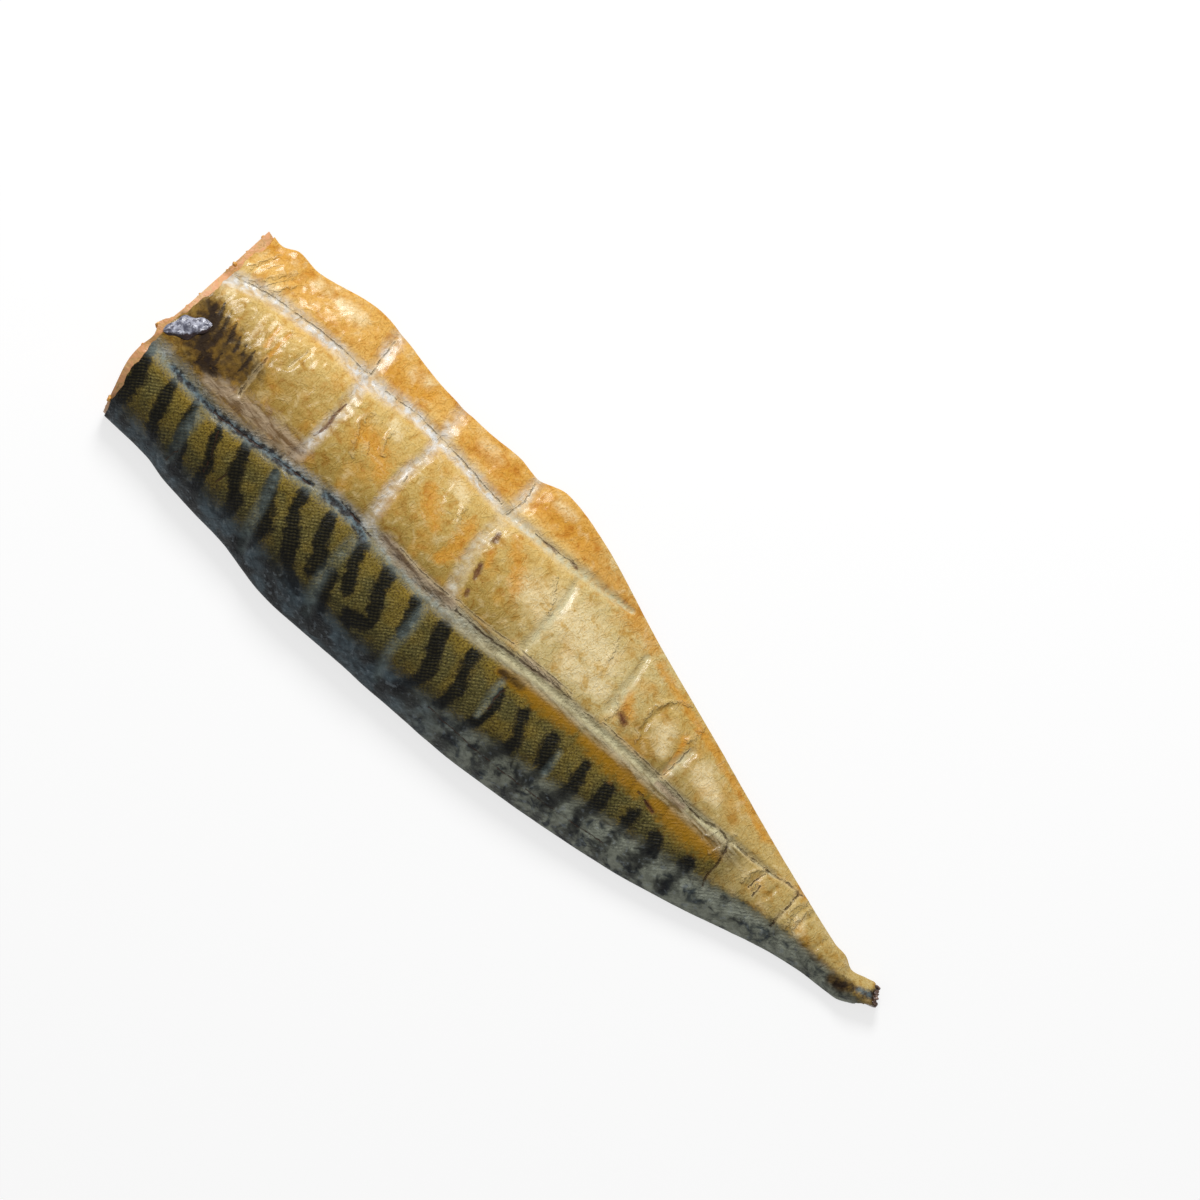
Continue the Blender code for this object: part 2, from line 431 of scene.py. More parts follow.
# A tree that makes a surface uneven: soft lumps at Sharpness 0, thin raised wrinkles at 1.
start, given = shape_tree(
    "uneven_surface",
    {"Size": "Float", "Depth": "Float", "Sharpness": "Float", "Stretch": "Vector", "Where": "String"},
)
place = start.vector("MULTIPLY", start.node("GeometryNodeInputPosition"), given["Stretch"])
lumps = start.node(
    "ShaderNodeTexNoise",
    inputs={"Vector": place, "Scale": 1 / given["Size"], "Detail": 2.0, "Roughness": 0.45, "Distortion": 0.3},
)
ridge = 1 - start.maths("ABSOLUTE", lumps * 2 - 1)
height = (1 - given["Sharpness"]) * (lumps - 0.5) * 2 + given["Sharpness"] * (ridge**5 - 0.35)
outwards = start.node("GeometryNodeInputNamedAttribute", {"data_type": "FLOAT_VECTOR"}, {"Name": "outwards"})
give = start.node("GeometryNodeInputNamedAttribute", {"data_type": "FLOAT"}, {"Name": given["Where"]})
offset = start.node(
    "ShaderNodeVectorMath", {"operation": "SCALE"}, {0: outwards, "Scale": height * give * given["Depth"]}
)
moved = start.node("GeometryNodeSetPosition", inputs={"Geometry": given["Geometry"], "Offset": offset})
uneven_tree = close_tree(moved, given["Finish"])

# The long wires and the cross wires of the rack, which press the skin and the flesh beneath it
LONG_MARKS = [
    [(-118, 12.0, 2.0), (-110, 16, 2.0), (-100, 18, 1.8), (-90, 19.5, 1.6), (-80, 20, 2.0), (-70, 20.6, 2.1),
     (-62, 22, 1.8), (-50, 22.3, 1.6), (-40, 22, 1.5), (-30, 21.5, 1.6), (-20, 22.5, 1.4), (-10, 23.5, 1.5),
     (0, 25, 1.3), (10, 26.5, 0.6)],
    [(-117, -11.5, 2.2), (-105, -11.8, 2.0), (-95, -12, 1.9), (-88, -11, 1.9), (-80, -9.5, 2.0),
     (-70, -8.3, 1.9), (-62, -7, 2.0), (-50, -5.7, 2.1), (-45, -6, 2.2), (-35, -6.6, 1.9), (-25, -6, 2.0),
     (-18, -5, 2.0), (-10, -4.5, 1.6), (0, -2.5, 1.4), (10, -1, 1.4), (20, 0, 1.3), (30, 1, 1.3),
     (40, 1.8, 1.3), (50, 2.4, 1.1), (60, 3.5, 1.0), (68, 5, 0.8), (80, 6.5, 0.6)],
]
CROSS_MARKS = [
    [(-77.5, 33, 1.9), (-76, 25, 1.8), (-75, 18, 1.8), (-74, 10, 1.7), (-73.5, 0, 1.6), (-74, -6, 1.8)],
    [(-53.5, 31, 1.8), (-52.5, 24, 1.9), (-52, 16, 1.5), (-52.5, 10, 1.5), (-51.5, 2, 1.7), (-50.5, -3, 1.9)],
    [(-28.5, 32, 1.6), (-27.8, 24, 2.0), (-28, 12, 1.7), (-26.5, 5, 1.7), (-24, -2, 1.6), (-23, -6, 1.6)],
    [(-4.5, 22, 0.9), (-3, 16, 1.4), (-2.2, 8, 1.6), (-2, 2, 1.3)],
    [(20.5, 21, 0.8), (22, 14, 1.3), (23, 6, 1.5)],
    [(44.5, 13, 1.0), (44, 8, 1.6), (43, 3, 1.1)],
    [(-97, -13, 1.6), (-97, -20, 1.5), (-95, -28, 1.3)],
    [(-74, -12, 1.5), (-71.5, -19, 1.4), (-69.5, -26, 1.5), (-67, -31, 1.0)],
    [(-49.5, -9, 1.6), (-49, -17, 1.5), (-48, -24, 1.6), (-45, -30, 1.3)],
    [(-26, -8, 1.4), (-25, -15, 1.5), (-24.5, -22, 1.4), (-22, -29, 1.2)],
    [(0, -8, 1.0), (0.6, -13, 1.2), (1.5, -18, 0.8)],
    [(22, -10, 0.8), (23, -16, 1.0)],
]
LONG_FURROW = 1.2 * MM
CROSS_FURROW = 0.7 * MM

long_wires = drawn_lines("long_wires", LONG_MARKS)
cross_wires = drawn_lines("cross_wires", CROSS_MARKS)

# The flesh side: the groove along its middle, the gashes that the ribs left, and the flakes
MIDLINE = [
    (-117, -1, 1.3), (-90, -1.5, 1.2), (-60, -2, 1.1), (-30, -1, 1.1), (0, 1, 1.0), (40, 2.5, 0.9),
    (80, 2, 0.7), (108, 1, 0.5),
]
GASH_COUNT = 11
GASH_PITCH = 13.5
# The first gash as (x, y, half width), and how much further each next one's point is from the back
GASH = [(-104, -7, 0.4, 0.6), (-101, -12, 0.9, 0.7), (-96.5, -18, 0.5, 0.9)]
GASHES = [
    [(first_x + GASH_PITCH * k, first_y + shift * k, half) for first_x, first_y, half, shift in GASH]
    for k in range(GASH_COUNT)
]
FLAKE_FIRST_X, FLAKE_LAST_X = -112, 92
FLAKE_PITCH = 5.2
# One flake line on either side of the middle: (x from its start, y from the middle, half width)
FLAKE = [(0, 1.5, 0.35), (4, 9, 0.35), (3, 15, 0.35), (9, 24, 0.3)]
FLAKES = [
    [(first_x + step_x, side * step_y, half) for step_x, step_y, half in FLAKE]
    for first_x in np.arange(FLAKE_FIRST_X, FLAKE_LAST_X, FLAKE_PITCH)
    for side in (-1, 1)
]
MIDLINE_DEPTH = 0.8 * MM
GASH_DEPTH = 1.1 * MM
FLAKE_DEPTH = 0.25 * MM
midline = drawn_lines("midline", [MIDLINE])
gashes = drawn_lines("gashes", GASHES)
flakes = drawn_lines("flakes", FLAKES)

straight_out = np.zeros((underneath.size, 3))
straight_out[:, 2] = 1 - 2 * underneath.ravel()
keep_on_points(flesh, "outwards", straight_out)
keep_on_points(flesh, "give", yields.ravel())

flesh_paint, start = new_finish("smoked_flesh")
place = start.node("ShaderNodeTexCoord", output="Object")


def grain(place, size, detail=2.0, roughness=0.5, distortion=0.0):
    """Noise with features of a size in millimetres."""
    inputs = {"Vector": place, "Scale": 1 / (size * MM), "Detail": detail, "Roughness": roughness,
              "Distortion": distortion}
    return place.node("ShaderNodeTexNoise", inputs=inputs)


def how_far(start, name, sway=None):
    """Distance from the nearest line of a mark, in its half widths.

    A thin line is given a sway, as two wires in half widths: the line then wavers by so much.
    """
    mark = start.node("ShaderNodeAttribute", {"attribute_name": name}, output="Vector")
    distance = mark.part(2)
    if sway is None:
        return distance
    east = mark.part(0) + sway[0]
    north = mark.part(1) + sway[1]
    far = distance.rise(8.0, 12.0)
    return start.maths("SQRT", east * east + north * north) * (1 - far) + distance * far


FLESH_GOLD = paint(200, 146, 74)
FLESH_PALE = paint(220, 176, 118)
FLESH_BROWN = paint(160, 112, 56)
FLESH_GROOVE_SHADE = paint(120, 80, 42)
FLESH_ROSE = paint(220, 158, 108)
FLESH_BURNT = paint(84, 54, 32)

broad = grain(place, 14).rise(0.35, 0.65)
streaky = grain(start.vector("MULTIPLY", place, (0.35, 1, 1)), 1.6, 4.0).rise(0.3, 0.7)
colour = (broad * 0.6 + streaky * 0.4).pick(FLESH_GOLD, FLESH_PALE)
colour = (grain(place, 5, 3.0).rise(0.5, 0.75) * 0.6).pick(colour, FLESH_BROWN)
cut = 1 - place.part(0).rise(-116 * MM, -112 * MM)
layers = grain(start.vector("MULTIPLY", place, (1, 1, 0.45)), 1.7, 4.0, 0.6, 1.0)
colour = (cut * layers.rise(0.4, 0.6)).pick(colour, FLESH_ROSE)
colour = (cut * (1 - layers.rise(0.3, 0.42)) * 0.7).pick(colour, FLESH_BROWN)
colour = (place.part(0).rise(113 * MM, 118 * MM) * 0.85).pick(colour, FLESH_BURNT)
# Painted shade: the flesh is darkened along the flake lines, in the gashes and in the groove along the
# middle, where these sink in
flake_line = (1 - how_far(start, "flake", (0, 0)).rise(0.2, 1.4)) * 0.55
gash = 1 - how_far(start, "gash").rise(0.3, 1.0)
groove = 1 - how_far(start, "midline").rise(0.3, 1.3)
colour = flake_line.pick(colour, FLESH_BROWN)
colour = (groove * 0.6 + gash * 0.7).pick(colour, FLESH_GROOVE_SHADE)
relief = grain(place, 0.8, 3.0) + streaky * 0.8 + layers * cut * 2
bump = start.node("ShaderNodeBump", inputs={"Strength": 0.5, "Distance": 0.25 * MM, "Height": relief})
shader = start.node(
    "ShaderNodeBsdfPrincipled",
    inputs={"Base Color": colour, "Roughness": 0.38 + streaky * 0.2, "Coat Weight": 0.25,
            "Coat Roughness": 0.25, "Normal": bump},
)
start.node("ShaderNodeOutputMaterial", inputs={"Surface": shader})

run_tree(flesh, mark_tree, Lines=long_wires, Mark="long_wire", Depth=LONG_FURROW, Finish=flesh_paint)
run_tree(flesh, mark_tree, Lines=cross_wires, Mark="cross_wire", Depth=CROSS_FURROW, Finish=flesh_paint)
made_plain(flesh)
flesh.data.attributes.remove(flesh.data.attributes["give"])
keep_on_points(flesh, "give", underneath.ravel())
run_tree(flesh, mark_tree, Lines=midline, Mark="midline", Depth=MIDLINE_DEPTH, Finish=flesh_paint)
run_tree(flesh, mark_tree, Lines=gashes, Mark="gash", Depth=GASH_DEPTH, Finish=flesh_paint)
run_tree(flesh, mark_tree, Lines=flakes, Mark="flake", Depth=FLAKE_DEPTH, Finish=flesh_paint)
made_plain(flesh)
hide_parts("fillet")
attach(flesh, "root")

# ---------------------------------------------------------------------------------------------
# Skin: the fish's own thin scaly skin, cured tight and golden over the flesh. It stops short of
# the head cut, and wraps under the back edge and the belly edge.
# ---------------------------------------------------------------------------------------------
SKIN_HEAD_EDGE = [
    (0.00, -113.8), (0.12, -115.2), (0.20, -116.4), (0.30, -117.2), (0.40, -117.7), (0.50, -117.6),
    (0.62, -116.6), (0.73, -116.2), (0.87, -116.2), (0.95, -115.4), (1.00, -115.6),
]
SKIN_TAIL_EDGE = [(0.00, 115.2), (0.35, 118.8), (0.60, 117.8), (0.85, 116.8), (1.00, 115.6)]
SKIN_STATIONS = 480
SKIN_ACROSS = 150
LINING_SHARE = 5
LINING_DEPTH = 1.9
LATERAL_LINE = [
    (-118, -9), (-105, -9), (-95, -10), (-80, -8), (-62, -5), (-45, -4), (-25, -4), (-10, -2.5), (0, -1),
    (20, 1), (40, 2.5), (60, 4), (70, 4), (90, 4),
]
FLANK_LINE = [
    (-118, -28), (-90, -27.5), (-50, -27), (-20, -25), (0, -22), (20, -18.5), (40, -14), (55, -10.5),
    (70, -7), (80, -4), (90, -2.2), (100, -0.6), (108, -0.5), (120, -1),
]

even = np.linspace(0, 1, SKIN_ACROSS + 1)[None, :]
turns = np.interp(even, (0, 0.05, 0.97, 1), (-0.85, 0, 1, 1.6))
share = np.clip(turns, 0, 1)
ragged = 0.24 * np.sin(47 * share + 1.3) + 0.12 * np.sin(113 * share + 4) + 0.05 * np.sin(229 * share)
along = np.linspace(0, 1, SKIN_STATIONS + 1)[:, None]
head = through(SKIN_HEAD_EDGE, share) + ragged
tail = through(SKIN_TAIL_EDGE, share) + ragged
skin_x = head + along * (tail - head)
skin_y, skin_z = section_point(skin_x, turns, 0.0)
outer = np.stack([skin_x, skin_y, skin_z], -1)
outwards = np.cross(np.gradient(outer, axis=0), np.gradient(outer, axis=1))
outwards /= np.linalg.norm(outwards, axis=-1, keepdims=True)
depth = np.interp(even, (0, 0.15, 0.85, 1), (0.35, 1, 1, 0.35)) * LINING_DEPTH
lining_x = skin_x[:, ::LINING_SHARE]
lining_y, lining_z = section_point(lining_x, turns[:, ::LINING_SHARE], depth[:, ::LINING_SHARE])
lining = np.stack([lining_x, lining_y, lining_z], -1)
rings = np.concatenate([outer, lining[:, ::-1]], 1)

around = rings.shape[1]
last_ring = SKIN_STATIONS * around
ends = []
for k in range(SKIN_ACROSS // LINING_SHARE):
    strip = [*range(k * LINING_SHARE, (k + 1) * LINING_SHARE + 1), around - 2 - k, around - 1 - k]
    ends.append(strip)
    ends.append([last_ring + corner for corner in reversed(strip)])
skin = loft("skin", rings, ends)

both = np.concatenate([outwards, outwards[:, ::-LINING_SHARE]], 1)
keep_on_points(skin, "outwards", both.reshape(-1, 3))
free = eased(-0.6, 0.02, turns) * (1 - eased(0.98, 1.4, turns)) * eased(1.0, 4.0, skin_z)
line_gap = skin_y - through(LATERAL_LINE, skin_x)
flank_gap = skin_y - through(FLANK_LINE, skin_x)
leathery = free * (0.15 + 0.85 * np.maximum(eased(1, 6, line_gap), eased(60, 85, skin_x)))
kept = {
    "give": free, "leathery": leathery, "from_line": line_gap, "from_flank": flank_gap,
    "turn": turns * np.ones_like(skin_x),
}
for name, values in kept.items():
    keep_on_points(skin, name, np.concatenate([values, values[:, ::-LINING_SHARE]], 1).ravel())

# What marks the skin, as routes of (x, y, half width): first the dark stripes of the back
STRIPES = [
    [(-117, -12, 1.2), (-115, -18, 2.0), (-113.5, -25, 2.2), (-114, -31, 1.8)],
    [(-107, -14.5, 1.2), (-105.5, -20, 1.6), (-103.5, -25, 1.7), (-101, -29, 1.4)],
    [(-99.5, -14, 1.0), (-98.5, -18, 1.5), (-96, -23, 1.6), (-92, -29, 1.5)],
    [(-91.5, -14, 1.2), (-90, -18, 1.6), (-87, -22, 1.6), (-86, -28, 1.4)],
    [(-84, -12.5, 1.2), (-82, -17, 1.6), (-79, -21, 1.6), (-76, -24.5, 1.5), (-76, -29, 1.4)],
    [(-74, -12, 1.0), (-72, -16, 1.7), (-69, -20, 2.0), (-66.5, -24, 2.1), (-67, -29, 1.8)],
    [(-66, -10.5, 1.4), (-64.5, -15, 1.6), (-62, -18, 1.6), (-59, -22, 1.7), (-56, -26, 1.6),
     (-50, -28.5, 1.3)],
    [(-57, -9.5, 1.4), (-55.5, -14, 1.5), (-53, -18, 1.8), (-51, -22, 1.9)],
    [(-47, -9.5, 1.5), (-45, -14, 1.6), (-42, -19, 1.5)],
    [(-47, -20, 1.6), (-45, -25, 1.8), (-42, -30, 1.5)],
    [(-38, -9, 1.6), (-36.5, -13, 1.7), (-34, -18, 1.6), (-32.5, -21, 1.3), (-37, -23.5, 1.8)],
    [(-28.5, -9, 1.5), (-27, -12, 1.7), (-25.5, -17, 1.4)],
    [(-19, -9, 1.6), (-17.5, -13, 1.6), (-15, -18, 1.7), (-14.5, -22, 1.7), (-17, -26, 1.5)],
    [(-9.5, -9, 1.7), (-8, -13, 1.7), (-6.5, -18, 1.6), (-7, -23, 1.3)],
    [(1.5, -9.5, 0.8), (3, -14, 1.2), (3, -18, 1.0), (1, -24, 2.2), (1, -30, 2.0)],
    [(9, -9.5, 1.4), (11, -13, 1.8), (12.5, -17, 1.4), (10.5, -23, 1.8), (11, -28, 1.8)],
    [(18.5, -9, 1.5), (20, -13, 1.9), (22, -17, 1.6), (20.5, -22, 1.8), (20.5, -27, 1.8)],
    [(28.5, -8, 1.5), (30, -13, 1.7), (30, -18, 1.6), (29, -21, 1.8), (29.5, -26, 1.8)],
    [(36.5, -8, 1.5), (37, -13, 1.5), (36.6, -19, 1.7), (38, -24, 1.7)],
    [(45, -8, 1.6), (45.5, -13, 1.7), (45.6, -18, 1.7), (46.4, -22, 1.6)],
    [(53.5, -8, 1.6), (54.5, -12, 1.9), (54.4, -16, 1.6), (55, -20, 1.4)],
    [(63, -6.5, 1.6), (63.5, -11, 1.7), (62.8, -14, 1.5), (63, -17, 1.3)],
]
CRACKS = same_width(
    0.13,
    [(-115, 14), (-108, 16.6), (-98, 18.6), (-88, 20.2), (-76, 20.6)],
    [(-70, 20.8), (-60, 22.4), (-50, 22.4), (-40, 22.2), (-31, 21.8)],
    [(-20, 22.6), (-16, 23.2), (-12, 23.6), (-8, 24.4)],
    [(-77.2, 31), (-76.4, 25.4), (-75.4, 21)],
    [(-28.6, 31), (-27.4, 26), (-28.2, 21)],
    [(-51.5, 10), (-51, 8)],
    [(-90, 14), (-90.4, 8)],
    [(-8, -25), (5, -24.4), (20, -22.6), (32, -20.6), (45, -18)],
    [(43.6, 13), (43.8, 8), (43.4, 3)],
    [(78, 5), (77.4, 2.6), (77.4, 0)],
    [(79.3, 2), (79.5, -1)],
    [(24, 2.4), (34, 3.0), (46, 3.4), (54, 3)],
    [(-22, -2.2), (-12, -1.0), (0, 0.8), (14, 2.0)],
    [(-40, -3.2), (-32, -3.4), (-24, -2.6)],
) + same_width(
    0.2,
    [(-95, -12.3), (-88, -11.4), (-80, -10), (-72, -8.8), (-66, -8)],
    [(-58, -5.4), (-52, -5.8), (-47, -6.4)],
    [(-20, -4.0), (-10, -3.0), (0, -1.2), (8, 0.2), (22, 1.2)],
    [(54, 3), (58, 3.2), (62, 4.6), (66, 4)],
    [(68, 5), (72, 5), (76, 5.6), (82, 6.9), (88, 8)],
    [(66.5, 4), (68, -1), (68.2, -5), (69.5, -8)],
    [(87.3, 8), (87.6, 3), (88, -3)],
    [(-95.6, 6), (-94.9, 0), (-94, -5)],
    [(42, -3.2), (45, -3.6), (48, -4.2)],
    [(-91, -15), (-88.2, -20), (-86.6, -24)],
    [(-82.4, -20), (-82.8, -25)],
    [(-94.8, -25), (-95.6, -29)],
    [(2, -8), (1.6, -11), (2.4, -15)],
)
FOLDS = same_width(
    0.5,
    [(-115, 18), (-113.6, 21.5), (-112, 25)],
    [(-112, 16), (-109, 21), (-106, 25)],
    [(-107, 17), (-105.4, 20), (-104, 23)],
    [(36, 21), (33, 18.6), (31, 16), (30.3, 12), (31.4, 8), (33.2, 5)],
    [(22, 10), (24, 7), (24, 4)],
    [(-9, 19), (-6, 15), (-4, 12)],
    [(12, 20), (13.6, 16.6), (14, 14)],
    [(65.5, 6), (66, 2), (65, -1)],
    [(62, 3.5), (61, 1)],
    [(90, 8), (88.8, 4), (90.5, -1)],
    [(92, 7), (91.5, 2), (94, -1.5)],
    [(77, 6), (75.4, 3), (75, 0)],
    [(42, 19), (42.4, 16), (41.6, 14)],
    [(-62, 15), (-61, 11.5), (-59.6, 9.5)],
    [(-36.6, 15), (-35.4, 12), (-34.6, 10)],
    [(-68.6, 15), (-68.8, 11), (-66, 7), (-64, 4)],
)
# Sharp valleys, browned patches, and burns at the head cut, at the tail and in spots
CREASES = same_width(
    0.6,
    [(66.5, 4), (68, -1), (68.2, -5), (69.5, -8)],
    [(87.3, 8), (87.6, 3), (88, -3)],
    [(78, 5), (77.4, 2.6), (77.4, 0)],
    [(93.4, 6.4), (92.6, 2), (93.4, -1)],
    [(100, 4.6), (99.2, 1)],
    [(82.5, 5), (82, 1)],
    [(-95.6, 6), (-94.9, 0), (-94, -5)],
    [(-90, 14), (-90.4, 8)],
    [(33, 17), (31.6, 12), (32, 8)],
    [(61, 3), (60.6, 0)],
    [(40, -1), (41, -5)],
    [(50, 0), (51, -4)],
)
TOASTED = [
    [(-114, 4, 4.0), (-109, -1, 9.0), (-103, -2, 8.0), (-97, 0, 5.0)],
    [(107.6, -1.4, 1.6), (110, -0.4, 2.2), (112, 0.6, 1.6)],
    [(117.5, 3, 1.6), (119.4, 2.4, 1.8)],
    [(-2, -6.4, 1.0), (4, -5.4, 1.2)],
]
BURNS = [
    [(-112, 4, 1.6), (-110, -1, 2.4), (-107, -4, 3.2), (-103, -5, 2.0)],
    [(-106, -6.5, 1.2), (-102, -6, 1.2)],
    [(-113.5, 5.5, 1.2), (-112, 3, 1.6)],
    [(109, -1.6, 0.8), (111, -0.4, 1.1)],
    [(117.4, 4.2, 1.2), (119, 3.2, 1.2)],
    [(-26, 16.4, 0.7), (-25.6, 14.4, 1.0)],
    [(-23.8, 8, 0.8), (-23, 6, 0.9), (-22.6, 4.6, 0.5)],
    [(-21.6, 1.6, 0.7), (-21, 0.4, 0.6)],
    [(-17, 23, 0.4), (-13, 23.4, 0.5)],
    [(-9, 24.4, 0.5), (-7, 24, 0.4)],
    [(26, 6.8, 1.2), (27.6, 6.2, 1.2)],
    [(45, -3.4, 0.5), (48, -4, 0.5)],
    [(-74.3, 12, 0.25), (-74.3, 8, 0.45), (-73.7, 5, 0.5), (-74.2, 1, 0.2)],
]
# Scorch strokes that hang from the burnt place at the head cut
BURNS += [
    [(-112.4, 8, 0.3), (-110.6, 4, 1.0), (-109.8, 1, 0.7)],
    [(-109.8, 7.8, 0.3), (-108.2, 3.4, 0.6), (-107.4, -1, 0.9)],
    [(-106.8, 6.6, 0.3), (-105.4, 3.2, 0.9), (-104.9, 1.4, 0.4)],
    [(-103.8, 5.0, 0.3), (-102.6, 2.8, 0.6), (-102.3, 1.2, 0.3)],
    [(-101.3, 4.8, 0.2), (-100.4, 2.2, 0.5)],
    [(-99.0, 5.4, 0.2), (-98.3, 2.2, 0.6), (-98.0, -1.4, 0.3)],
    [(-107.6, -2, 0.6), (-106.6, -7, 0.7)],
    [(-104.0, -1, 0.3), (-103.2, -5, 0.5)],
]
BRUISES = [
    [(-102, -8, 1.6), (-95, -7, 3.0), (-84, -5.5, 3.4), (-74, -4.5, 2.8)],
    [(-44, -4.0, 1.8), (-34, -4.8, 1.8), (-22, -3.6, 1.8)],
    [(0, -0.4, 1.2), (10, 1.0, 1.0)],
    [(44, 1.6, 0.9), (52, 2.0, 1.0)],
]
BLUES = [
    [(-110, -12, 1.0), (-96, -12.2, 1.1), (-88, -11.2, 1.3), (-80, -9.8, 1.3), (-72, -8.8, 1.0),
     (-66, -7.6, 0.6)],
    [(-62, -7.0, 1.4), (-55, -6.2, 1.6), (-48, -7.4, 1.2)],
    [(113.8, 1.6, 1.0), (116.6, 2.6, 1.2)],
]
AMBERS = [
    [(-68, 30, 1.6), (-64, 25.6, 3.0), (-62, 29, 1.6)],
    [(-72, 25, 2.4), (-68, 24, 2.6)],
    [(-48, 26, 2.0), (-40, 27, 3.0), (-34, 28, 3.2), (-33, 24, 2.4)],
    [(-66, 10, 2.2), (-60, 9, 2.6), (-57, 7, 2.4)],
    [(-45, 12, 2.0), (-42, 9, 2.6), (-38, 6.5, 1.4)],
    [(-32, 12, 2.4), (-31, 6, 2.4), (-32, 2, 1.6)],
    [(-22, 18, 1.4), (-18, 15, 2.0), (-14, 10, 1.8)],
    [(-24, 12, 0.8), (-22.6, 9, 0.9)],
    [(-12, 30, 3.0), (-4, 28, 3.6), (6, 27.5, 3.0), (20, 24, 1.8)],
    [(-24, 28, 2.2), (-16, 29, 3.2), (-10, 31, 2.4)],
    [(-99, 13, 0.6), (-98, 8, 0.8)],
    [(-96, 14, 0.5), (-95.6, 5, 0.7)],
    [(-118, 26, 1.0), (-112, 25.4, 1.2), (-108, 28, 1.2), (-102, 27.6, 1.0)],
    [(24, 22, 1.0), (40, 18.6, 1.1), (56, 15.2, 1.0), (72, 11, 0.9)],
    [(24, 12, 1.2), (27, 8, 2.0)],
    [(41, 14, 0.9), (43, 8, 0.7), (43.6, 3, 0.8)],
    [(-77.8, -16, 1.0), (-77, -17, 0.8)],
    [(-55, -17, 0.7), (-51, -17, 0.8)],
    [(-1, -27, 1.6), (1, -27, 1.4)],
    [(41, -11, 1.3), (42, -12, 1.2)],
]
CREAMS = [
    [(-12, 12, 4.0), (2, 14, 6.0), (14, 12, 5.0)],
    [(8, 6, 3.0), (18, 8, 3.0)],
    [(36, 12, 3.0), (39, 8, 2.0)],
    [(50, 11, 3.0), (56, 9, 2.0)],
    [(-63, 17, 1.4), (-60, 15, 1.2)],
    [(-42, 17.4, 1.8), (-38, 16, 1.6)],
    [(-44, 28.6, 1.8), (-39, 28.4, 2.0)],
    [(-68, 29, 1.8), (-64, 29.6, 1.4)],
    [(-101, 27, 1.2), (-97, 28, 1.4)],
    [(-93, 28, 1.8), (-87, 28.8, 2.0)],
    [(-21, 31.6, 1.4), (-16, 32, 1.2)],
    [(92, 3, 1.6), (94, 0, 1.6)],
    [(-114, 10, 1.4), (-113, 14, 1.6)],
]
OCHRES = [
    [(-2, -6.4, 1.2), (4, -5.4, 1.9), (12, -4.6, 2.1), (20, -3.6, 1.8)],
    [(24, -3.8, 1.8), (34, -2.6, 2.8), (42, -2.2, 2.4)],
    [(47, -2.0, 2.2), (55, -1.6, 3.0), (63, -0.6, 2.6), (66, 0, 1.8)],
    [(96, 1.4, 2.2), (102, 2.0, 2.6), (107, 2.4, 2.2)],
]

skin_paint, start = new_finish("smoked_skin")
place = start.node("ShaderNodeTexCoord", output="Object")
from_line = start.node("ShaderNodeAttribute", {"attribute_name": "from_line"}, output="Fac")
from_flank = start.node("ShaderNodeAttribute", {"attribute_name": "from_flank"}, output="Fac")
turn = start.node("ShaderNodeAttribute", {"attribute_name": "turn"}, output="Fac")
x_mm = place.part(0) * (1 / MM)
y_mm = place.part(1) * (1 / MM)

fine = grain(place, 0.45, 3.0, 0.6)
small = grain(place, 1.5, 3.0)
middling = grain(place, 3.2, 3.0, 0.55, 0.6)
broad = grain(place, 7, 2.0)
streaks = grain(start.vector("MULTIPLY", place, (0.22, 1, 1)), 1.3, 3.0, 0.55, 0.3)
wobble = (small - 0.5) * 1.3 + (fine - 0.5) * 0.7
waver = ((small - 0.5) * 8, (middling - 0.5) * 8)


def band(name, low=0.7, high=1.3, wobbling=1.0, sway=None):
    """1 on a mark, 0 away from it, with an uneven edge."""
    return 1 - (how_far(start, name, sway) + wobble * wobbling).rise(low, high)


def waves(pitch, degrees, bend):
    """Ripples from 0 to 1 that run across a direction on the table, at a pitch in millimetres."""
    step = 2 * math.pi / pitch
    turned = math.radians(degrees)
    across_wave = x_mm * (step * math.cos(turned)) + y_mm * (step * math.sin(turned))
    return start.maths("SINE", across_wave + bend) * 0.5 + 0.5


# Scales: slanted rows, weaker rows across them, clearer in some places than in others
rows = waves(0.80, -52, middling * 9 + small * 3) * (0.45 + 0.55 * waves(0.95, 38, middling * 7))
scales = rows.rise(0.05, 0.8) * (0.35 + 0.65 * middling.rise(0.35, 0.65))

# Colours of the belly, by the share of its width from the seam to its edge
BELLY_WIDTH = 32
BELLY = [
    (0.00, paint(144, 120, 56)), (0.15, paint(168, 140, 68)), (0.38, paint(194, 163, 88)),
    (0.65, paint(212, 181, 108)), (0.88, paint(232, 194, 118)), (1.00, paint(224, 174, 86)),
]
CREAM = paint(212, 194, 138)
PALE_GOLD = paint(246, 228, 184)
AMBER = paint(214, 150, 34)
OLIVE = paint(84, 78, 38)
OLIVE_GOLD = paint(150, 124, 40)
STRIPE = paint(10, 9, 4)
OLIVE_LIGHT = paint(140, 128, 72)
STRIPE_BROWN = paint(44, 34, 14)
FLANK_GREY = paint(58, 62, 62)
FLANK_TEAL = paint(84, 100, 108)
FLANK_DARK = paint(12, 14, 18)
FLANK_PALE = paint(164, 168, 150)
FLANK_GLINT = paint(150, 160, 168)
RACK_WHITE = paint(226, 226, 224)
RACK_ROSE = paint(200, 186, 164)
RACK_BLUE = paint(136, 150, 146)
RACK_CREAM = paint(208, 200, 160)
BRUISE_BROWN = paint(102, 78, 54)
BRUISE_PALE = paint(172, 152, 126)
BLUE_DARK = paint(24, 28, 40)
BLUE_PALE = paint(92, 110, 118)
BURNT = paint(30, 18, 12)
CRACK_BROWN = paint(66, 42, 26)
TAN = paint(158, 112, 4)
BELLY_SHADED = paint(150, 118, 44)
# Tints of painted shade for the hollows and the fine pits of the skin's relief
BELLY_HOLLOW_SHADE = paint(232, 210, 162)
BELLY_PIT_SHADE = paint(234, 220, 188)
BACK_PIT_SHADE = paint(150, 140, 110)
TOAST_DARK = paint(46, 30, 12)
